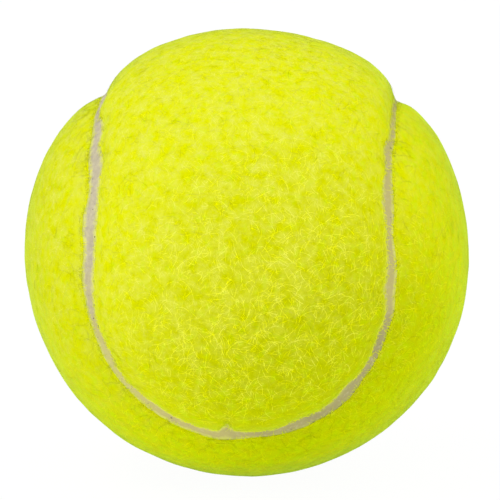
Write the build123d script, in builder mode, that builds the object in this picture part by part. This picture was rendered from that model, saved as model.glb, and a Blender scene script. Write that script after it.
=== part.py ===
"""A pressurised tennis ball, built as it is made.

Two moulded rubber half shells are cemented into a hollow core, the core is coated with cement,
and two like dumbbell-shaped felt panels with cemented backs are wrapped round it. Cement on the
cut edges of the felt cures into one sunken seam strip that runs once round the ball.

The origin is the ball's centre. +Z points through the neck of the upper felt panel, whose two
lobes reach down along -Y and +Y. The lower panel has its neck at -Z and its lobes along -X and +X.
"""

import math
import os

from build123d import *

# Driving dimensions, in millimetres
ball_diameter = 67.0  # over the felt
felt_thickness = 3.3  # of a panel, cloth and nap
backing_thickness = 0.15  # cement on the back of a panel
coat_thickness = 0.15  # cement coat round the core
core_wall = 3.3  # rubber of a half shell
joint_thickness = 0.3  # cement between the half shells
joint_bead_radius = 0.7  # cement squeezed out inside the joint
seam_width = 1.6  # seam strip's face, between the felt edges
seam_root_width = 0.3  # seam strip at the core, where the felt edges almost meet
seam_depth = 1.0  # seam strip's face below the ball's round surface
felt_edge_radius = 1.5  # felt rolled over along a panel's edge

# Course of the seam
lobe_reach = 46.4  # degrees that a panel's lobe reaches past the ball's equator
seam_wave = 0.30  # strength of the third wave, which straightens the sides of a lobe
seam_stations = 72  # points that the seam's curves pass through
cut_margin = 0.5  # how far a cutting surface runs past what it cuts

# Radii of the layers, from the outside in
ball_radius = ball_diameter / 2
seam_radius = ball_radius - seam_depth
felt_back_radius = ball_radius - felt_thickness
backing_back_radius = felt_back_radius - backing_thickness
core_radius = backing_back_radius - coat_thickness
cavity_radius = core_radius - core_wall

# The seam's lift makes its highest point stand lobe_reach above the equator
seam_lift = (1 - seam_wave) * math.tan(math.radians(lobe_reach))
edge_slope = (seam_width - seam_root_width) / 2 / (seam_radius - backing_back_radius)

quarter_turn = 90
half_turn = 180
# Half a turn about this axis carries the upper panel onto the lower one
panel_swap_axis = Axis((0, 0, 0), (1, 1, 0))


def seam_course(turn):
    """Direction of the seam's middle line from the ball's centre, once round as turn goes to 2 pi."""
    return Vector(
        math.cos(turn) - seam_wave * math.cos(3 * turn),
        math.sin(turn) + seam_wave * math.sin(3 * turn),
        seam_lift * math.cos(2 * turn),
    ).normalized()


def beside_seam(turn, radius):
    """Point on the upper panel's cut edge at this radius, square to the seam's course."""
    step = math.pi / seam_stations
    along = seam_course(turn + step) - seam_course(turn - step)
    middle = seam_course(turn)
    towards_panel = middle.cross(along).normalized()
    half_gap = seam_width / 2 + edge_slope * (radius - seam_radius)
    lean = half_gap / radius
    return (middle * math.cos(lean) + towards_panel * math.sin(lean)) * radius


def edge_curve(radius):
    """Closed curve along the upper panel's cut edge at this radius."""
    turns = [2 * math.pi * station / seam_stations for station in range(seam_stations)]
    with BuildLine() as curve:
        Spline([beside_seam(turn, radius) for turn in turns], periodic=True)
    return curve.edge()


def cut_quarter(outer_radius, inner_radius, *edge_walls):
    """The +X +Y quarter of a round shell, cut along the felt edges, as solids from the top down."""
    with BuildPart() as quarter:
        Sphere(outer_radius, arc_size3=quarter_turn, align=None)
        Sphere(inner_radius, arc_size3=quarter_turn, align=None, mode=Mode.SUBTRACT)
        for wall in edge_walls:
            split(bisect_by=wall, keep=Keep.ALL)
    return quarter.solids().sort_by(Axis.Z, reverse=True)


def mirrored_whole(quarter):
    """Whole piece of which this is the +X +Y quarter: its skin mirrored twice and sewn together."""
    skin = quarter.faces().filter_by(GeomType.PLANE, reverse=True)
    half_skin = skin + [face.mirror(Plane.XZ) for face in skin]
    return Solid(Shell(half_skin + [face.mirror(Plane.YZ) for face in half_skin]))


# Cut edges of the two felt panels, from under their backing to outside the ball
upper_edge_wall = Face.make_surface_from_curves(
    edge_curve(backing_back_radius - cut_margin),
    edge_curve(ball_radius + cut_margin),
)
lower_edge_wall = upper_edge_wall.rotate(panel_swap_axis, half_turn)

# Rubber core: two moulded half shells, butted together with cement
with BuildPart() as core_half_upper:
    Sphere(core_radius)
    Sphere(cavity_radius, mode=Mode.SUBTRACT)
    split(bisect_by=Plane.XY.offset(joint_thickness / 2), keep=Keep.TOP)

with BuildPart() as core_half_lower:
    add(core_half_upper.part.mirror(Plane.XY))

# Bead that the cement of the joint forms on the inside of the wall
with BuildPart() as joint_bead:
    Torus(cavity_radius, joint_bead_radius)
    Sphere(cavity_radius, mode=Mode.INTERSECT)

with BuildPart() as core_joint_cement:
    Sphere(core_radius)
    Sphere(cavity_radius, mode=Mode.SUBTRACT)
    split(bisect_by=Plane.XY.offset(-joint_thickness / 2), keep=Keep.TOP)
    split(bisect_by=Plane.XY.offset(joint_thickness / 2), keep=Keep.BOTTOM)
    add(joint_bead.part)

# Cement that the core is dipped in before it is covered
with BuildPart() as core_cement_coat:
    Sphere(backing_back_radius)
    Sphere(core_radius, mode=Mode.SUBTRACT)

# Felt panels, each with a coat of cement on its back and its edge rolled over towards the seam
backing_quarter = cut_quarter(felt_back_radius, backing_back_radius, upper_edge_wall)[0]
with BuildPart() as felt_backing_upper:
    add(mirrored_whole(backing_quarter), clean=False)

with BuildPart() as felt_backing_lower:
    add(felt_backing_upper.part.rotate(panel_swap_axis, half_turn), clean=False)

square_quarter = cut_quarter(ball_radius, felt_back_radius, upper_edge_wall)[0]
with BuildPart() as felt_panel_quarter:
    add(square_quarter)
    cut_edges = felt_panel_quarter.edges().filter_by(GeomType.BSPLINE)
    outer_rim = cut_edges.sort_by(lambda edge: edge.position_at(0.5).length)[-1]
    fillet(outer_rim, radius=felt_edge_radius)

with BuildPart() as felt_panel_upper:
    add(mirrored_whole(felt_panel_quarter.part), clean=False)

with BuildPart() as felt_panel_lower:
    add(felt_panel_upper.part.rotate(panel_swap_axis, half_turn), clean=False)

# Seam strip: the cement between the cut edges of the two panels
strip_quarter = cut_quarter(seam_radius, backing_back_radius, upper_edge_wall, lower_edge_wall)[1]
with BuildPart() as seam_strip:
    add(mirrored_whole(strip_quarter), clean=False)

pieces = {
    "core_half_upper": core_half_upper.part,
    "core_half_lower": core_half_lower.part,
    "core_joint_cement": core_joint_cement.part,
    "core_cement_coat": core_cement_coat.part,
    "felt_backing_upper": felt_backing_upper.part,
    "felt_backing_lower": felt_backing_lower.part,
    "felt_panel_upper": felt_panel_upper.part,
    "felt_panel_lower": felt_panel_lower.part,
    "seam_strip": seam_strip.part,
}
os.makedirs("parts", exist_ok=True)
for name, piece in pieces.items():
    piece.label = name
    export_step(piece, f"parts/{name}.step")
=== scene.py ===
import math

import bpy
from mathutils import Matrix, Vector


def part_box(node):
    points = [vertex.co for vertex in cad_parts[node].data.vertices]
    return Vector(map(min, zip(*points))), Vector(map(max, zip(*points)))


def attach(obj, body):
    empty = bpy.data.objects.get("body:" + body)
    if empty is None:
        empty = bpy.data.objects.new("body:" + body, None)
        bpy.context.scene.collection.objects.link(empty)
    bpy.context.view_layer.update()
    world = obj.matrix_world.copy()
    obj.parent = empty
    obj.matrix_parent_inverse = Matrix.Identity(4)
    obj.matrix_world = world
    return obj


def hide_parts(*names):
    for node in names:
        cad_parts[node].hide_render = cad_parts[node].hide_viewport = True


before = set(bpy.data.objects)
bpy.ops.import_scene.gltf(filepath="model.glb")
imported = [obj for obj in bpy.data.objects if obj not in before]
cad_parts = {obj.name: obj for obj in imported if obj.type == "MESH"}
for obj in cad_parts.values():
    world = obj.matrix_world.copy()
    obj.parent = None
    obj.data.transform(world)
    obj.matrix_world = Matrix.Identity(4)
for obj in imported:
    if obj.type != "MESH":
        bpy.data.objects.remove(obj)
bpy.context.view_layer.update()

# Core half shells: two hollow hemispheres of black rubber, moulded under heat and cemented edge to edge.
# They are sealed inside the ball. Mixing streaks and a dusty bloom keep the black from being even.


class Wire:
    """A socket of a shader or geometry tree. Arithmetic on wires adds Math and Vector Math nodes."""

    def __init__(self, socket):
        self.socket = socket
        self.tree = socket.id_data
        self.is_vector = socket.type == "VECTOR"

    @staticmethod
    def put(node, sockets):
        """Sets a node's sockets, each to a value or a link."""
        for key, value in sockets.items():
            if isinstance(value, Wire):
                node.id_data.links.new(value.socket, node.inputs[key])
            else:
                node.inputs[key].default_value = value

    @staticmethod
    def node(tree, kind, settings=None, sockets=None, output=0):
        """A new node, its settings set first and then its sockets. Gives one of its outputs.

        A setting called stops holds the points of a curve.
        """
        made = tree.nodes.new(kind)
        for name, value in (settings or {}).items():
            if name == "stops":
                curve = made.mapping.curves[0]
                for place, height in value[1:-1]:
                    curve.points.new(place, height)
                curve.points[0].location = value[0]
                curve.points[-1].location = value[-1]
                made.mapping.update()
            else:
                setattr(made, name, value)
        Wire.put(made, sockets or {})
        return Wire(made.outputs[output])

    def beside(self, output):
        """Another output of the same node."""
        return Wire(self.socket.node.outputs[output])

    def maths(self, operation, *others):
        """A Math node with this wire as its first term."""
        terms = dict(enumerate([self, *others]))
        return Wire.node(self.tree, "ShaderNodeMath", {"operation": operation}, terms)

    def vector_maths(self, operation, *others, output=0):
        """A Vector Math node with this wire as its first term."""
        terms = dict(enumerate([self, *others]))
        return Wire.node(self.tree, "ShaderNodeVectorMath", {"operation": operation}, terms, output)

    def dot(self, other):
        return self.vector_maths("DOT_PRODUCT", other, output=1)

    def cross(self, other):
        return self.vector_maths("CROSS_PRODUCT", other)

    def unit(self):
        return self.vector_maths("NORMALIZE")

    def length(self):
        return self.vector_maths("LENGTH", output=1)

    def combine(self, operation, first, second):
        """The operation on two terms, either of them a number or a vector."""
        terms = {0: first, 1: second}
        vectors = [
            isinstance(term, tuple) or getattr(term, "is_vector", False)
            for term in (first, second)
        ]
        if not any(vectors):
            return Wire.node(self.tree, "ShaderNodeMath", {"operation": operation}, terms)
        if not all(vectors):
            operation = "SCALE"
            terms = {0: first, "Scale": second} if vectors[0] else {0: second, "Scale": first}
        return Wire.node(self.tree, "ShaderNodeVectorMath", {"operation": operation}, terms)

    def __add__(self, other):
        return self.combine("ADD", self, other)

    def __radd__(self, other):
        return self.combine("ADD", other, self)

    def __sub__(self, other):
        return self.combine("SUBTRACT", self, other)

    def __rsub__(self, other):
        return self.combine("SUBTRACT", other, self)

    def __mul__(self, other):
        return self.combine("MULTIPLY", self, other)

    def __rmul__(self, other):
        return self.combine("MULTIPLY", other, self)

    def __truediv__(self, other):
        return self.maths("DIVIDE", other)

    def __pow__(self, other):
        return self.maths("POWER", other)


def noise(place, scale, detail=2.0, roughness=0.5, seed=0.0, distortion=0.0, output="Fac"):
    """Soft noise about 0.5, with features about 1/scale wide in the unit of the place."""
    sockets = {
        "Vector": place,
        "W": seed,
        "Scale": scale,
        "Detail": detail,
        "Roughness": roughness,
        "Distortion": distortion,
    }
    return Wire.node(place.tree, "ShaderNodeTexNoise", {"noise_dimensions": "4D"}, sockets, output)


def step(value, low, high):
    """0 below low, 1 above high, and a smooth rise between them."""
    sockets = {"Value": value, "From Min": low, "From Max": high}
    return Wire.node(value.tree, "ShaderNodeMapRange", {"interpolation_type": "SMOOTHSTEP"}, sockets)


def tint(amount, first, second):
    """The first colour turning into the second as the amount goes from 0 to 1."""
    sockets = {0: amount}
    for key, colour in ((6, first), (7, second)):
        sockets[key] = colour if isinstance(colour, Wire) else (*colour, 1.0)
    return Wire.node(amount.tree, "ShaderNodeMix", {"data_type": "RGBA"}, sockets, 2)


def bump(height, depth, strength=1.0):
    """Normal of a surface whose relief is this height, of 0 to 1, times the depth in metres."""
    sockets = {"Height": height, "Distance": depth, "Strength": strength}
    return Wire.node(height.tree, "ShaderNodeBump", {}, sockets)


def new_finish(name, **settings):
    """A new material. Gives it, its shader and the wire of the place on the piece."""
    finish = bpy.data.materials.new(name)
    finish.use_nodes = True
    shader = finish.node_tree.nodes["Principled BSDF"]
    Wire.put(shader, {label.replace("_", " "): value for label, value in settings.items()})
    place = Wire.node(finish.node_tree, "ShaderNodeTexCoord", output="Object")
    return finish, shader, place


def paint(node_name, finish):
    """Gives a CAD node its finish."""
    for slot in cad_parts[node_name].material_slots:
        slot.material = finish


mm = 0.001
rubber_black = (0.018, 0.018, 0.019)
rubber_bloom = (0.062, 0.060, 0.057)
rubber_relief = 0.06 * mm

rubber, rubber_shader, rubber_place = new_finish("moulded core rubber", Specular_IOR_Level=0.35)
streaks = noise(rubber_place * (1.0, 1.0, 4.0), 90, detail=4, distortion=1.2)
bloom = noise(rubber_place, 700, detail=5, roughness=0.65, seed=3.0)
Wire.put(rubber_shader, {
    "Base Color": tint(step(streaks * 0.6 + bloom * 0.4, 0.38, 0.68), rubber_black, rubber_bloom),
    "Roughness": 0.55 + 0.3 * bloom,
    "Normal": bump(bloom, rubber_relief),
})
paint("core_half_upper", rubber)
paint("core_half_lower", rubber)

# Cement: natural-rubber cement in the core's joint, dipped over the core and spread on the felt's back.
# It cures to a thin honey-coloured film with runs, small bubbles and a satin surface.
cement_pale = (0.50, 0.43, 0.27)
cement_honey = (0.36, 0.28, 0.13)
cement_relief = 0.08 * mm

cement, cement_shader, cement_place = new_finish("cured rubber cement")
runs = noise(cement_place * (1.0, 1.0, 0.35), 260, detail=3, distortion=0.8, seed=5.0)
bubbles = noise(cement_place, 1900, detail=2, seed=8.0)
Wire.put(cement_shader, {
    "Base Color": tint(step(runs, 0.35, 0.68), cement_honey, cement_pale),
    "Roughness": 0.38 + 0.25 * bubbles,
    "Normal": bump(runs * 0.7 + bubbles * 0.3, cement_relief),
})
for cemented in ("core_joint_cement", "core_cement_coat", "felt_backing_upper", "felt_backing_lower"):
    paint(cemented, cement)

# Felt panels: two dumbbells alike, die-cut from wool and nylon felt and pressed onto the cemented core.
# Each is a closed sheet that swells towards its cut edge and rolls over there, down to the seam.
ball_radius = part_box("felt_panel_upper")[1].z
felt_back_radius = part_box("felt_backing_upper")[1].z
seam_depth = 1.35 * mm
seam_face_radius = ball_radius - seam_depth
lobe_reach = math.radians(46.4)
seam_wave = 0.30
seam_lift = (1 - seam_wave) * math.tan(lobe_reach)
# The strip as it lies: turn in degrees, how far its middle lies from the seam's course towards the upper
# panel, and its width, in millimetres. The front was measured on the photograph and the back is guessed
strip_run = [
    (0, 0.0, 0.8), (8, 0.1, 1.3), (20, 0.5, 2.1), (33, 0.8, 2.7), (45, 0.6, 2.2),
    (60, 0.9, 2.6), (75, 0.7, 2.0), (86, 0.9, 2.5), (98, 0.7, 2.9), (112, 0.9, 2.2),
    (125, 0.7, 2.6), (138, 0.9, 2.0), (150, 0.6, 2.7), (160, 0.8, 2.1), (170, 0.5, 2.4),
    (176, 0.8, 1.4), (183, 1.1, 2.0), (187, 0.15, 1.35), (192, 0.75, 2.75), (195, 0.35, 2.5),
    (199, 0.95, 3.4), (205, 1.05, 2.55), (211, 0.55, 3.5), (218, 0.85, 2.8), (224, 0.55, 3.0),
    (229, 0.6, 2.0), (236, 0.95, 2.0), (242, 1.25, 2.25), (247, 1.0, 1.7), (253, 1.25, 2.3),
    (260, 0.95, 2.45), (264, 0.75, 2.4), (267, 0.45, 2.95), (271, 1.05, 2.2), (275, 0.75, 1.95),
    (279, 0.9, 2.9), (283, 0.65, 2.45), (287, 0.6, 2.65), (290, 1.0, 2.9), (293, 0.85, 1.7),
    (298, 0.65, 1.85), (304, 0.7, 2.0), (309, 0.2, 1.9), (315, 0.65, 2.55), (320, 0.35, 2.2),
    (327, 0.75, 1.7), (331, 0.7, 2.3), (335, 0.8, 2.4), (340.5, 0.65, 1.7), (344.4, 0.75, 2.0),
    (346.4, 0.3, 1.45), (349.5, -0.1, 1.35), (355, -0.1, 1.0), (360, 0.0, 0.8),
]
widest_strip = 3.6
ragged_edge = 0.9 * mm
# A nick in the upper panel's edge: the turn it lies at, half its width as a turn, and its depth
nick_turn = math.radians(268.2)
nick_half_width = math.radians(1.2)
nick_depth = 2.1 * mm


def separate(vector, axis):
    """One part of a vector: X, Y or Z."""
    return Wire.node(vector.tree, "ShaderNodeSeparateXYZ", {}, {0: vector}, axis)


def vector_of(x, y, z):
    """A vector of three parts, at least one of them a wire."""
    tree = next(wire.tree for wire in (x, y, z) if isinstance(wire, Wire))
    return Wire.node(tree, "ShaderNodeCombineXYZ", {}, {0: x, 1: y, 2: z})


def seam_course(turn):
    """Direction of the seam's middle line from the ball's centre, once round as turn goes to 2 pi."""
    third = turn * 3
    course = vector_of(
        turn.maths("COSINE") - seam_wave * third.maths("COSINE"),
        turn.maths("SINE") + seam_wave * third.maths("SINE"),
        seam_lift * (turn * 2).maths("COSINE"),
    )
    return course.unit()


def across_seam(turn):
    """Direction square to the seam's course, towards the upper panel."""
    third = turn * 3
    along = vector_of(
        3 * seam_wave * third.maths("SINE") - turn.maths("SINE"),
        turn.maths("COSINE") + 3 * seam_wave * third.maths("COSINE"),
        -2 * seam_lift * (turn * 2).maths("SINE"),
    )
    return seam_course(turn).cross(along).unit()


def strip_size(turn, column):
    """A size of the strip from its list, in metres: its middle's place (1) or its width (2)."""
    stops = [(row[0] / 360, row[column] / widest_strip) for row in strip_run]
    share = (turn / (2 * math.pi)).maths("FRACT")
    listed = Wire.node(turn.tree, "ShaderNodeFloatCurve", {"stops": stops}, {"Value": share})
    return listed * (widest_strip * mm)


def felt_gap(turn, side):
    """Distance in metres from the seam's course to the edge of the upper (0) or lower (1) panel."""
    ragged = noise(seam_course(turn), 22, detail=4, roughness=0.65, seed=11.0 + side) - 0.5
    off_nick = (turn - nick_turn).maths("ABSOLUTE") / nick_half_width
    nick = (1 - off_nick).maths("MAXIMUM", 0.0) * (nick_depth * (1 - side))
    return strip_size(turn, 2) * 0.5 + strip_size(turn, 1) * (1 - 2 * side) + ragged * ragged_edge + nick


def on_side(vector, side):
    """The vector on the upper panel (0), or turned about the line x = y onto the lower one (1)."""
    turned = vector_of(separate(vector, "Y"), separate(vector, "X"), -1 * separate(vector, "Z"))
    return vector * (1 - side) + turned * side


def new_tree(name, inputs):
    """An empty geometry tree with these named inputs. Gives the tree and the wires of its inputs."""
    kinds = {int: "NodeSocketInt", float: "NodeSocketFloat"}
    tree = bpy.data.node_groups.new(name, "GeometryNodeTree")
    tree.interface.new_socket("Surface", in_out="INPUT", socket_type="NodeSocketGeometry")
    for label, value in inputs.items():
        tree.interface.new_socket(label, in_out="INPUT", socket_type=kinds[type(value)])
    tree.interface.new_socket("Piece", in_out="OUTPUT", socket_type="NodeSocketGeometry")
    given = tree.nodes.new("NodeGroupInput")
    return tree, {socket.name: Wire(socket) for socket in given.outputs if socket.name}


def end_tree(geometry, finish):
    """Ends a tree: what it made becomes real geometry with this finish."""
    real = Wire.node(geometry.tree, "GeometryNodeRealizeInstances", {}, {"Geometry": geometry})
    sockets = {"Geometry": real, "Material": finish}
    dressed = Wire.node(geometry.tree, "GeometryNodeSetMaterial", {}, sockets)
    Wire.put(geometry.tree.nodes.new("NodeGroupOutput"), {0: dressed})


def grow(name, tree, inputs, surface=None):
    """A plain mesh made by a geometry tree with these inputs, on the mesh of another piece if given."""
    piece = bpy.data.objects.new(name, surface.data.copy() if surface else bpy.data.meshes.new(name))
    bpy.context.scene.collection.objects.link(piece)
    modifier = piece.modifiers.new("shape", "NODES")
    modifier.node_group = tree
    for item in tree.interface.items_tree:
        if item.in_out == "INPUT" and item.name in inputs:
            modifier[item.identifier] = inputs[item.name]
    bpy.context.view_layer.update()
    shaped = piece.evaluated_get(bpy.context.evaluated_depsgraph_get())
    mesh = bpy.data.meshes.new_from_object(shaped)
    piece.modifiers.remove(modifier)
    piece.data = mesh
    mesh.name = name
    return piece


def keep(geometry, name, value, data_type="FLOAT", domain="POINT"):
    """Stores a value on the geometry under a name."""
    settings = {"data_type": data_type, "domain": domain}
    sockets = {"Geometry": geometry, "Name": name, "Value": value}
    return Wire.node(geometry.tree, "GeometryNodeStoreNamedAttribute", settings, sockets)


def kept(tree, name, data_type="FLOAT"):
    """A value that was stored on the geometry under a name."""
    return Wire.node(tree, "GeometryNodeInputNamedAttribute", {"data_type": data_type}, {"Name": name})


def unit_grid(tree, columns, rows):
    """A square grid. Its UV Map output gives the share of the way along and across it."""
    sockets = {"Size X": 1.0, "Size Y": 1.0, "Vertices X": columns, "Vertices Y": rows}
    return Wire.node(tree, "GeometryNodeMeshGrid", {}, sockets)


def moved(geometry, position):
    """The geometry with its points at these positions."""
    sockets = {"Geometry": geometry, "Position": position}
    return Wire.node(geometry.tree, "GeometryNodeSetPosition", {}, sockets)


def welded(geometry, distance):
    """The geometry with points closer than the distance joined, shaded smooth."""
    sockets = {"Geometry": geometry, "Distance": distance}
    closed = Wire.node(geometry.tree, "GeometryNodeMergeByDistance", {}, sockets)
    return Wire.node(geometry.tree, "GeometryNodeSetShadeSmooth", {}, {"Geometry": closed})


panel_inputs = {
    "Columns": 601,
    "Rows": 91,
    "First turn": 0.0,
    "Turn sign": 1.0,
    "Side": 0.0,
    "Back radius": felt_back_radius,
    "Edge radius": seam_face_radius - 0.05 * mm,
    "Lip": 0.15 * mm,
    "Lip width": 0.5 * mm,
    "Pillow": 1.97 * mm,
    "Pillow reach": 2.4 * mm,
    "Fall": 0.25 * mm,
    "Lumps": 0.15 * mm,
    "Seed": 1.0,
}
# Where the felt stands a little higher or lower: a direction, then the height in millimetres
felt_swells = [
    ((-0.66, -0.17, -0.72), 0.25), ((0.64, -0.13, -0.76), 0.25), ((0.89, -0.09, -0.44), 0.2),
    ((-0.95, 0.01, 0.30), 0.3), ((0.54, 0.20, 0.82), 0.2), ((-0.58, 0.14, 0.80), -0.3),
    ((-0.34, 0.19, 0.92), 0.15),
]
swell_reach = math.radians(16)
# The sheet's rows: their share on the back and over the cut edge, and how far in the latter reach
back_share = 0.09
edge_share = 0.22
row_slack = 0.001
edge_zone = 3.0 * mm
back_gap = 0.15 * mm
panel_weld = 0.004 * mm
spine_reach = math.radians(90)
spine_pull = 1.8
# In from the cut edge: where the felt begins to fall and stops, where its unevenness is full,
# and where the nap begins and is full
fall_begin = 6 * mm
fall_end = 18 * mm
uneven_end = 2 * mm
nap_begin = 0.05 * mm
nap_end = 0.5 * mm

panel_tree, given = new_tree("felt panel", panel_inputs)
sheet = unit_grid(panel_tree, given["Columns"], given["Rows"])
grid = sheet.beside("UV Map")
turn = separate(grid, "X") * (2 * math.pi)
row = separate(grid, "Y")
# Rows run from the spine along the back to the cut edge, close over it, and in to the spine again
on_back = row.maths("LESS_THAN", back_share - row_slack)
on_front = 1 - on_back
over_edge = ((row - back_share) / edge_share).maths("MAXIMUM", 0.0).maths("MINIMUM", 1.0)
past_edge = ((row - back_share - edge_share) / (1 - back_share - edge_share)).maths("MAXIMUM", 0.0)
inward = on_back * (1 - row / back_share) + on_front * past_edge
true_turn = given["First turn"] + given["Turn sign"] * turn
gap = (1 - given["Side"]) * felt_gap(true_turn, 0) + given["Side"] * felt_gap(true_turn, 1)
zone = over_edge * over_edge * edge_zone
lean = on_front * (gap + zone) / ball_radius + on_back * (back_gap / felt_back_radius)
edge = seam_course(turn) * lean.maths("COSINE") + across_seam(turn) * lean.maths("SINE")
# The spine is an arc through the neck and both lobes, where the two sides of the sheet meet
pull = (turn.maths("SINE") * spine_pull).maths("TANH") * (spine_reach / math.tanh(spine_pull))
spine = vector_of(0.0, pull.maths("SINE"), pull.maths("COSINE"))
heading = (edge * (1 - inward) + spine * inward).unit()
swing = heading.dot(edge).maths("MINIMUM", 1.0).maths("ARCCOSINE")
from_edge = on_front * (zone + swing * ball_radius)
# From the cut edge the felt rises over a short lip, then like a pillow, and falls a little in the middle
lip = 1 - (from_edge / given["Lip width"]).maths("MINIMUM", 1.0)
lip = given["Lip"] * (1 - lip * lip).maths("SQRT")
pillow = given["Pillow"] * (1 - (from_edge / given["Pillow reach"] * -1).maths("EXPONENT"))
fall = given["Fall"] * step(from_edge, fall_begin, fall_end)
wide = noise(heading, 2.2, detail=2, seed=given["Seed"]) - 0.5
lumps = noise(heading, 9, detail=1, seed=given["Seed"] + 20) - 0.5
off_edge = step(from_edge, 0.0, uneven_end)
uneven = given["Lumps"] * (lumps * 2 + wide * 3) * off_edge
true_heading = on_side(heading, given["Side"])
for way, rise in felt_swells:
    nearness = true_heading.dot(tuple(Vector(way).normalized()))
    swell = ((nearness - 1) / (swell_reach ** 2 / 2)).maths("EXPONENT")
    uneven = uneven + swell * (rise * mm) * off_edge
height = given["Edge radius"] + lip + pillow - fall + uneven
radius = on_back * given["Back radius"] + on_front * height
sheet = moved(sheet, true_heading * radius)
sheet = keep(sheet, "nap", on_front * step(from_edge, nap_begin, nap_end))
sheet = keep(sheet, "from_edge", from_edge)
sheet = keep(sheet, "to_seam", on_side(across_seam(turn) * -1, given["Side"]), "FLOAT_VECTOR")
sheet = welded(sheet, panel_weld)

felt_dye = (0.71, 0.745, 0.0)
felt_gap_shade = (0.42, 0.46, 0.0)
felt_light = (0.85, 0.88, 0.0)
felt_pale = (0.73, 0.76, 0.08)
felt_lime = (0.55, 0.80, 0.0)
felt_shade_tone = (0.30, 0.38, 0.0)
felt_relief = 0.1 * mm
painted_edge_light_end = 0.6 * mm
fibre_gloss = {
    "Roughness": 1.0,
    "Specular_IOR_Level": 0.0,
    "Sheen_Weight": 0.6,
    "Sheen_Roughness": 0.25,
    "Sheen_Tint": (0.62, 1.0, 0.22, 1.0),
}


def facing(place, way, low, high):
    """How far a place lies towards a direction from the ball's middle: 0 below low, 1 above high.

    The back is taken to be worn like the front, so the place is folded over to the front first.
    """
    to_front = separate(place, "Y").maths("ABSOLUTE") * -1
    folded = vector_of(separate(place, "X"), to_front, separate(place, "Z"))
    return step(folded.dot(way) / ball_radius, low, high)


def painted_sheen(place):
    """Painted sheen: how much paler the nap's pale patches are made towards the upper left, where the lamp
    is.
    """
    return facing(place, (-0.45, -0.45, 0.77), -0.6, 1.0) ** 1.2


def scuffed(place):
    """Where play has tangled the nap, so that single fibres stand out: on the front."""
    return facing(place, (0.25, -0.97, -0.05), 0.6, 1.0)


def low_right_shade(place):
    """Painted shade low down on the front, to the right, away from the lamp: how much darker the felt is
    made there, 0 to 1. The nap's fibres there also differ more in tone.
    """
    return facing(place, (0.52, -0.68, -0.52), 0.65, 1.0)


def low_front(place):
    """Low down on the front: there the felt's ground between the fibres is painted darker, as shade, and
    the nap's fibres differ more in tone.
    """
    return facing(place, (0.35, -0.6, -0.72), 0.35, 0.85)


def side_shade(place):
    """Painted shade: how much darker the felt is made away from the front and the top, 0 to 1."""
    return 1 - facing(place, (0.0, -0.8, 0.6), 0.25, 0.85)


def pale_patches(place):
    """Patches one or two millimetres wide where more fibre ends stand up."""
    return step(noise(place, 600, detail=3, roughness=0.65, seed=16.0), 0.34, 0.77)


def greener_share(place):
    """Share of the greener colour: soft random patches of greener dye, and painted shade that turns the
    felt greener away from the front and the top, so more low down and at the sides.
    """
    soft = 1.8 * (noise(place, 800, seed=21.0) - 0.5)
    return 0.39 - 0.45 * facing(place, (-0.2, -0.85, 0.45), -0.3, 0.9) + soft


def carried(finish, name):
    """A value that the mesh of the piece carries under a name."""
    return Wire.node(finish.node_tree, "ShaderNodeAttribute", {"attribute_name": name}, {}, "Fac")


felt, felt_shader, felt_place = new_finish("dyed felt", **fibre_gloss)
clumps = noise(felt_place, 1100, detail=4, roughness=0.65, seed=2.0)
mat = noise(felt_place, 2000, detail=4, roughness=0.65, seed=4.0, distortion=1.5)
ridges = 1 - ((mat - 0.5).maths("ABSOLUTE") * 9).maths("MINIMUM", 1.0)
# Painted shade: the felt's ground between the fibres is made darker, most on the front and low down, and
# more in some clumps than in others
ground_shade = 0.1 + 0.5 * scuffed(felt_place) + 0.25 * low_front(felt_place)
ground_shade = ground_shade * (1.2 - 0.4 * step(clumps, 0.30, 0.65))
felt_colour = tint(ground_shade, felt_dye, felt_gap_shade)
felt_colour = tint(ridges * 0.2, felt_colour, felt_light)
# Greener in random patches, and greener still as painted shade away from the front and the top
felt_colour = tint(greener_share(felt_place), felt_colour, felt_lime)
# Pale patches, made paler towards the upper left as painted sheen
felt_colour = tint(0.8 * pale_patches(felt_place) * painted_sheen(felt_place), felt_colour, felt_pale)
# Painted shade: darker low down on the right, and away from the front and the top
felt_colour = tint(0.2 * low_right_shade(felt_place) + 0.18 * side_shade(felt_place), felt_colour, felt_shade_tone)
# Painted light: the felt is made lighter by its cut edge, standing for light that comes through the loose
# fibres there and lifting the shade of the crease beside the strip
painted_edge_light = 1 - step(carried(felt, "from_edge"), 0.0, painted_edge_light_end)
felt_colour = tint(0.4 * painted_edge_light, felt_colour, felt_light)
Wire.put(felt_shader, {
    "Base Color": felt_colour,
    "Normal": bump(ridges * 0.5 + clumps * 0.5, felt_relief, 0.3),
})
end_tree(sheet, felt)

felt_upper = grow("felt_cover_upper", panel_tree, panel_inputs)
felt_lower = grow("felt_cover_lower", panel_tree, {
    **panel_inputs,
    "First turn": math.pi / 2,
    "Turn sign": -1.0,
    "Side": 1.0,
    "Pillow": 1.53 * mm,
    "Pillow reach": 2.6 * mm,
    "Fall": 0.35 * mm,
    "Seed": 2.0,
})

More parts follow.
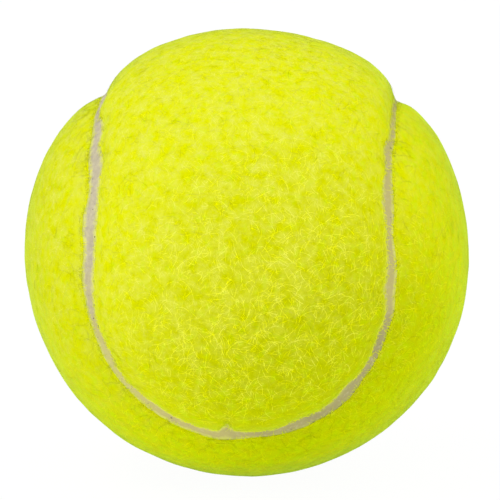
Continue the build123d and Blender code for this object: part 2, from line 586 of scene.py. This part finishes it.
# Nap: fibre ends raised out of the felt by steaming and tumbling, matted into curls and stray wisps.
# Short down covers the panels, longer wisps lie over it, and a fringe leans out from the cut edges.
nap_inputs = {
    "Per square metre": 1.75e6,
    "Knots": 3,
    "Shortest": 0.9 * mm,
    "Longest": 2.2 * mm,
    "Curl": 900.0,
    "Lift": 0.018 * mm,
    "Thickness": 0.05 * mm,
    "Fringe": 0.0,
    "Cells": 120.0,
    "Seed": 1,
}
wisp_inputs = {
    **nap_inputs,
    "Per square metre": 0.9e6,
    "Knots": 6,
    "Shortest": 1.5 * mm,
    "Longest": 4.5 * mm,
    "Curl": 700.0,
    "Lift": 0.03 * mm,
    "Thickness": 0.045 * mm,
}
fringe_inputs = {
    **nap_inputs,
    "Per square metre": 3.0e7,
    "Shortest": 0.2 * mm,
    "Longest": 2.4 * mm,
    "Curl": 600.0,
    "Lift": 0.1 * mm,
    "Thickness": 0.045 * mm,
    "Fringe": 1.0,
    "Seed": 31,
}
# In from the cut edge: where the fringe begins to thin out and ends, and where the fibres' lighter tone by
# the edge, partly painted light, ends
fringe_thins = 0.3 * mm
fringe_end = 0.8 * mm
fibre_light_end = 2 * mm
cropped_reach = 4 * mm
stray_angle = 1.4
strand_sink = 0.008 * mm
tip_taper = 0.75
ribbon_flatness = 0.1
cell_margin = 0.1
cell_span = 1 - 2 * cell_margin

nap_tree, given = new_tree("felt nap", nap_inputs)


def drawn(low, high, number):
    """A random number for each strand, between low and high."""
    strand = kept(nap_tree, "strand", "INT")
    sockets = {2: low, 3: high, "ID": strand, "Seed": given["Seed"] * 20 + number}
    return Wire.node(nap_tree, "FunctionNodeRandomValue", {"data_type": "FLOAT"}, sockets, 1)


surface = given["Surface"]
tufts = noise(Wire.node(nap_tree, "GeometryNodeInputPosition"), 500, detail=3, roughness=0.6, seed=3.0)
tufts = 0.92 + 0.16 * step(tufts, 0.36, 0.64)
# The nap covers the panel, and its fringe grows along the cut edge alone and leans out over the seam
fringe = given["Fringe"]
along_edge = 1 - step(kept(nap_tree, "from_edge"), fringe_thins, fringe_end)
share = tufts * (1 - fringe) + along_edge * fringe
points = Wire.node(nap_tree, "GeometryNodeDistributePointsOnFaces", {"distribute_method": "POISSON"}, {
    "Mesh": surface,
    "Distance Min": 0.75 * given["Per square metre"] ** -0.5,
    "Density Max": given["Per square metre"] * 2,
    "Density Factor": kept(nap_tree, "nap") * share,
    "Seed": given["Seed"],
})
points = keep(points, "lie", points.beside("Normal"), "FLOAT_VECTOR")
points = keep(points, "strand", Wire.node(nap_tree, "GeometryNodeInputIndex"), "INT")
points = keep(points, "root", Wire.node(nap_tree, "GeometryNodeInputPosition"), "FLOAT_VECTOR")
points = Wire.node(nap_tree, "GeometryNodeDuplicateElements", {"domain": "POINT"}, {
    "Geometry": points,
    "Amount": given["Knots"],
})
along = points.beside("Duplicate Index") / (given["Knots"] - 1)
points = keep(points, "along", along)
along = kept(nap_tree, "along")
root = kept(nap_tree, "root", "FLOAT_VECTOR")
outward = root.unit()
# The nap swirls, and on the whole it lies upwards on the front and backwards over the top
swirl = noise(root, 120, detail=1, seed=7.0, output="Color").vector_maths("SUBTRACT", (0.3, 0.5, 0.5))
swirl_way = outward.cross(swirl).unit()
seam_way = kept(nap_tree, "to_seam", "FLOAT_VECTOR")
first_way = (swirl_way * (1 - fringe) + seam_way * fringe).unit()
second_way = outward.cross(first_way)
yaw = drawn(-stray_angle, stray_angle, 1)
way = first_way * yaw.maths("COSINE") + second_way * yaw.maths("SINE")
beside = outward.cross(way)
length = given["Shortest"] + (given["Longest"] - given["Shortest"]) * drawn(0.0, 1.0, 2) ** 1.6
# Near a cut edge all fibres but the fringe's are short
cropped = (0.12 + kept(nap_tree, "from_edge") / cropped_reach).maths("MINIMUM", 1.0)
length = length * cropped.maths("MAXIMUM", fringe)
curl = given["Curl"] * (0.15 + 0.85 * drawn(0.0, 1.0, 3)) * drawn(-1.0, 1.0, 4).maths("SIGN")
arc = along * length * curl
spot = root + way * (arc.maths("SINE") / curl) + beside * ((1 - arc.maths("COSINE")) / curl)
# A strand follows the felt below it and rises from it towards the tip
ground = Wire.node(nap_tree, "GeometryNodeSampleNearestSurface", {"data_type": "FLOAT"}, {
    "Mesh": surface,
    "Value": Wire.node(nap_tree, "GeometryNodeInputPosition").length(),
    "Sample Position": spot.unit() * root.length(),
})
rise = (1 - (1 - along) ** 3) * given["Lift"] * drawn(0.3, 1.0, 5) - strand_sink
points = moved(points, spot.unit() * (ground + rise))
by_edge = 1 - step(kept(nap_tree, "from_edge"), fringe_thins, fibre_light_end)
by_edge = by_edge.maths("MAXIMUM", fringe)
# Fibres by the cut edge, the fringe most, get a lighter tone: partly their paler loose ends, partly painted
# light that lifts the shade of the crease beside the strip
points = keep(points, "tone", drawn(0.0, 1.0, 6) + by_edge * (0.35 + 0.25 * fringe))
strands = Wire.node(nap_tree, "GeometryNodePointsToCurves", {}, {
    "Points": points,
    "Curve Group ID": kept(nap_tree, "strand", "INT"),
    "Weight": along,
})
strands = Wire.node(nap_tree, "GeometryNodeCurveSplineType", {"spline_type": "POLY"}, {"Curve": strands})
girth = given["Thickness"] * (1 - tip_taper * along ** 2)
strands = Wire.node(nap_tree, "GeometryNodeSetCurveRadius", {}, {"Curve": strands, "Radius": girth})
strands = Wire.node(nap_tree, "GeometryNodeSetCurveNormal", {"mode": "FREE"}, {
    "Curve": strands,
    "Normal": outward,
})
# A strand is a flat three-sided ribbon, and its ridge faces outwards
section = Wire.node(nap_tree, "GeometryNodeCurvePrimitiveCircle", {}, {"Resolution": 3, "Radius": 1.0})
section = keep(section, "around", Wire.node(nap_tree, "GeometryNodeInputIndex") / 3)
section = Wire.node(nap_tree, "GeometryNodeTransform", {}, {
    "Geometry": section,
    "Scale": (ribbon_flatness, 1.0, 1.0),
})
fur = Wire.node(nap_tree, "GeometryNodeCurveToMesh", {}, {
    "Curve": strands,
    "Profile Curve": section,
    "Scale": girth,
    "Fill Caps": True,
})
# Every strand has a cell of its own in the piece's UV map
cell = kept(nap_tree, "strand", "INT")
column = cell.maths("MODULO", given["Cells"])
line = (cell / given["Cells"]).maths("FLOOR")
cell_u = (column + cell_margin + cell_span * kept(nap_tree, "around")) / given["Cells"]
cell_v = (line + cell_margin + cell_span * along) / given["Cells"]
fur = keep(fur, "OFBake", vector_of(cell_u, cell_v, 0.0), "FLOAT2", "CORNER")
fur = Wire.node(nap_tree, "GeometryNodeSetShadeSmooth", {}, {"Geometry": fur})
# Fibres are translucent and share the light of the felt around them, so they are shaded along with it
lie = kept(nap_tree, "lie", "FLOAT_VECTOR") * (1 - by_edge) + outward * by_edge
fur = Wire.node(nap_tree, "GeometryNodeSetMeshNormal", {"mode": "FREE"}, {
    "Mesh": fur,
    "Custom Normal": lie.unit(),
})

down_dark = (0.47, 0.49, 0.0)
down_light = (0.93, 0.945, 0.0)
lime_dark = (0.35, 0.51, 0.0)
lime_light = (0.70, 0.98, 0.0)
down_pale = (0.77, 0.795, 0.13)
wisp_pale = (0.94, 0.96, 0.26)

nap, nap_shader, nap_place = new_finish("raised nap", **fibre_gloss)
tone = carried(nap, "tone")
patches = pale_patches(nap_place)
contrast = 0.8 + 0.3 * scuffed(nap_place) + 0.5 * low_right_shade(nap_place) + 0.6 * low_front(nap_place)
brightness = 0.52 + 0.2 * scuffed(nap_place) + 0.15 * low_front(nap_place) + (tone - 0.5) * contrast
brightness = brightness + (patches - 0.4) * (0.05 + 0.25 * scuffed(nap_place))
# Greener in random patches, and greener still as painted shade away from the front and the top
green_share = greener_share(nap_place)
dark_end = tint(green_share, down_dark, lime_dark)
light_end = tint(green_share, down_light, lime_light)
down_colour = tint(brightness, dark_end, light_end)
# Painted shade: darker low down on the right, and away from the front and the top
down_colour = tint(0.2 * low_right_shade(nap_place) + 0.18 * side_shade(nap_place), down_colour, felt_shade_tone)
# Pale patches, made paler towards the upper left as painted sheen
down_colour = tint(patches * painted_sheen(nap_place), down_colour, down_pale)
down_colour = tint(0.32 * patches * scuffed(nap_place) * step(tone, 0.55, 1.0), down_colour, wisp_pale)
Wire.put(nap_shader, {"Base Color": down_colour})
end_tree(fur, nap)

down_layers = 2
wisp_layers = 2
for panel, label, cad_node in (
    (felt_upper, "upper", "felt_panel_upper"),
    (felt_lower, "lower", "felt_panel_lower"),
):
    coat = []
    for layer in range(down_layers):
        layer_inputs = {**nap_inputs, "Seed": 1 + layer}
        coat.append(grow(f"nap_down_{label}_{layer + 1}", nap_tree, layer_inputs, panel))
    for layer in range(wisp_layers):
        layer_inputs = {**wisp_inputs, "Seed": 11 + layer}
        coat.append(grow(f"nap_wisps_{label}_{layer + 1}", nap_tree, layer_inputs, panel))
    coat.append(grow(f"nap_fringe_{label}", nap_tree, fringe_inputs, panel))
    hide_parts(cad_node)
    for piece in [panel, *coat]:
        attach(piece, "root")

# Seam strip: cement brushed on the cut felt edges, which swells and cures into one pale rubbery strip.
# It is matt and slightly lumpy, with a few trapped specks, and lies below the felt all the way round.
strip_inputs = {
    "Columns": 1441,
    "Points across": 9,
    "Face radius": seam_face_radius,
    "Root radius": felt_back_radius - 0.15 * mm,
    "Root half width": 0.15 * mm,
    "Dome": 0.06 * mm,
    "Lumps": 0.22 * mm,
    "Tuck": 0.12 * mm,
    "Seed": 5.0,
}
strip_weld = 0.002 * mm

strip_tree, given = new_tree("seam strip", strip_inputs)
across = given["Points across"]
strip = unit_grid(strip_tree, given["Columns"], across * 2 + 1)
grid = strip.beside("UV Map")
turn = separate(grid, "X") * (2 * math.pi)
# Points go across the face from the lower panel to the upper one, and back across the root
station = (separate(grid, "Y") * across * 2).maths("ROUND").maths("MODULO", across * 2)
on_root = station.maths("GREATER_THAN", across - 0.5)
place = 2 * (station - on_root * across) / (across - 1) - 1
place = place * (1 - 2 * on_root)
upper_side = felt_gap(turn, 0) + given["Tuck"]
lower_side = felt_gap(turn, 1) + given["Tuck"]
offset = (upper_side * (1 + place) - lower_side * (1 - place)) * 0.5
offset = offset * (1 - on_root) + place * on_root * given["Root half width"]
lean = offset / given["Face radius"]
heading = seam_course(turn) * lean.maths("COSINE") + across_seam(turn) * lean.maths("SINE")
lumps = noise(heading, 34, detail=4, roughness=0.6, seed=given["Seed"]) - 0.5
face = given["Face radius"] + (given["Dome"] + lumps * given["Lumps"]) * (1 - place * place)
radius = face * (1 - on_root) + on_root * given["Root radius"]
strip = moved(strip, heading * radius)
strip = keep(strip, "across", place)
strip = welded(strip, strip_weld)

strip_beige = (0.56, 0.50, 0.345)
strip_grey = (0.45, 0.395, 0.285)
strip_fleck = (0.68, 0.64, 0.42)
strip_tan = (0.50, 0.44, 0.17)
strip_shade_colour = (0.26, 0.235, 0.12)
strip_dye_and_light = (0.74, 0.76, 0.16)
strip_speck = (0.13, 0.11, 0.07)
strip_relief = 0.08 * mm

seam_finish, seam_shader, seam_place = new_finish("cured seam cement", Specular_IOR_Level=0.25)
cloud = noise(seam_place, 900, detail=4, roughness=0.65, seed=6.0)
grain = noise(seam_place, 3200, detail=3, roughness=0.6, seed=9.0)
fleck = step(noise(seam_place, 1700, detail=2, seed=17.0), 0.55, 0.72)
speck = step(noise(seam_place, 1500, detail=1, seed=12.0), 0.70, 0.76)
stain = noise(seam_place, 160, detail=3, seed=14.0) - 0.5
# The strip is lighter and cleaner towards the upper left, where the lamp is, tan elsewhere and darkest low
# down on the right: partly stains, partly painted shade and a painted yellow glow thrown from the felt
clean_and_lit = seam_place.dot((-0.85, 0.0, 0.5)) / ball_radius + stain * 0.6
low_right_strip_shade = seam_place.dot((0.68, 0.0, -0.72)) / ball_radius + stain * 0.6
# Dye has crept in at its edges, and right across it low down on the left. The dyed edges are also painted
# light, lighter than the dye alone, to lift the shade of the creases beside the felt
margin = carried(seam_finish, "across").maths("ABSOLUTE")
margin = step(margin + (cloud - 0.5) * 0.9, 0.25, 0.9)
run_dye = facing(seam_place, (-0.6, -0.66, -0.45), 0.9, 1.0)
strip_colour = tint(step(cloud * 0.7 + grain * 0.3, 0.38, 0.62), strip_grey, strip_beige)
# Partly stain, partly painted shade and felt glow: tan and darker away from the upper left
strip_colour = tint(1 - step(clean_and_lit, 0.3, 0.7), strip_colour, strip_tan)
# Dyed edges, partly painted light that lifts the shade of the creases
strip_colour = tint((margin * 0.9).maths("MAXIMUM", run_dye * 0.45), strip_colour, strip_dye_and_light)
# Painted shade: darker low down on the right
strip_colour = tint(step(low_right_strip_shade, 0.3, 0.85) * 0.8, strip_colour, strip_shade_colour)
strip_colour = tint(fleck * 0.3, strip_colour, strip_fleck)
strip_colour = tint(speck, strip_colour, strip_speck)
Wire.put(seam_shader, {
    "Base Color": strip_colour,
    "Roughness": 0.6 + 0.3 * grain,
    "Normal": bump(grain * 0.6 + cloud * 0.4, strip_relief),
})
end_tree(strip, seam_finish)

seam_piece = grow("seam_cement", strip_tree, strip_inputs)
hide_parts("seam_strip")
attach(seam_piece, "root")

# Floor: a flat sheet of white paper that the ball rests on, there for the picture alone.
# It looks white to the camera and keeps a faint shadow.
floor_half = 4.0
floor_corners = ((-1, -1), (1, -1), (1, 1), (-1, 1))
white = (1.0, 1.0, 1.0, 1.0)
paper_grey = (0.86, 0.86, 0.86)
paper_pale = (0.89, 0.89, 0.89)
paper_glow = 0.95


def in_sight(tree):
    """1 for what the camera sees, straight or by mirror or glass, and 0 for what only lights things."""
    path = Wire.node(tree, "ShaderNodeLightPath", {}, {}, "Is Camera Ray")
    mirrored = path.maths("MAXIMUM", path.beside("Is Glossy Ray"))
    return mirrored.maths("MAXIMUM", path.beside("Is Transmission Ray"))


floor_mesh = bpy.data.meshes.new("floor")
floor_mesh.from_pydata(
    [(x * floor_half, y * floor_half, -ball_radius) for x, y in floor_corners],
    [],
    [(0, 1, 2, 3)],
)
floor = bpy.data.objects.new("floor", floor_mesh)
bpy.context.scene.collection.objects.link(floor)
# The paper also glows faintly, so that it lights the ball's underside from below as a lamp would
paper, paper_shader, paper_place = new_finish(
    "white paper",
    Roughness=0.9,
    Specular_IOR_Level=0.1,
    Emission_Color=white,
    Emission_Strength=0.32,
)
fibres = noise(paper_place, 60, detail=3)
Wire.put(paper_shader, {"Base Color": tint(fibres, paper_grey, paper_pale)})
glow = Wire.node(paper.node_tree, "ShaderNodeEmission", {}, {"Color": white, "Strength": 1.0})
mixed = Wire.node(paper.node_tree, "ShaderNodeMixShader", {}, {
    0: in_sight(paper.node_tree) * paper_glow,
    1: Wire(paper_shader.outputs[0]),
    2: glow,
})
Wire.put(paper.node_tree.nodes["Material Output"], {"Surface": mixed})
floor_mesh.materials.append(paper)

# Studio: a white surround lights the ball from all sides, more from above, the right and the front.
# One broad round lamp stands at the upper left.
surround_level = 0.65
behind_gain = -0.13
right_gain = 0.2
upper_gain = 0.38
lamp_place = Vector((-0.62, -0.30, 1.16))
lamp_width = 0.8
lamp_power = 5.4

surround = bpy.data.worlds.new("studio")
surround.use_nodes = True
bpy.context.scene.world = surround
seen = in_sight(surround.node_tree)
way = Wire.node(surround.node_tree, "ShaderNodeTexCoord", output="Generated")
level = surround_level + way.dot((right_gain, behind_gain, upper_gain))
Wire.put(surround.node_tree.nodes["Background"], {
    "Color": white,
    "Strength": level * (1 - seen) + seen,
})
lamp_data = bpy.data.lights.new("softbox", "AREA")
lamp_data.shape = "DISK"
lamp_data.size = lamp_width
lamp_data.energy = lamp_power
lamp = bpy.data.objects.new("softbox", lamp_data)
lamp.location = lamp_place
lamp.rotation_euler = lamp_place.to_track_quat("Z", "Y").to_euler()
bpy.context.scene.collection.objects.link(lamp)

# Camera: a long lens a little above the ball, looking down on the lobe of the upper panel.
# The ball's middle and radius in the photograph, in pixels, set the lens and its shift.
picture_side = 500
ball_middle = (247.2, 253.9)
ball_pixel_radius = 222.3
view_azimuth = math.radians(3.0)
view_elevation = math.radians(11.8)
view_distance = 35 * ball_radius

camera_data = bpy.data.cameras.new("camera")
limb = ball_radius / math.sqrt(view_distance ** 2 - ball_radius ** 2)
camera_data.lens = camera_data.sensor_width * ball_pixel_radius / picture_side / limb
camera_data.shift_x = (picture_side / 2 - ball_middle[0]) / picture_side
camera_data.shift_y = (ball_middle[1] - picture_side / 2) / picture_side
camera = bpy.data.objects.new("camera", camera_data)
camera.location = view_distance * Vector((
    math.sin(view_azimuth) * math.cos(view_elevation),
    -math.cos(view_azimuth) * math.cos(view_elevation),
    math.sin(view_elevation),
))
camera.rotation_euler = camera.location.to_track_quat("Z", "Y").to_euler()
bpy.context.scene.collection.objects.link(camera)
bpy.context.scene.camera = camera
bpy.context.scene.view_settings.view_transform = "Standard"
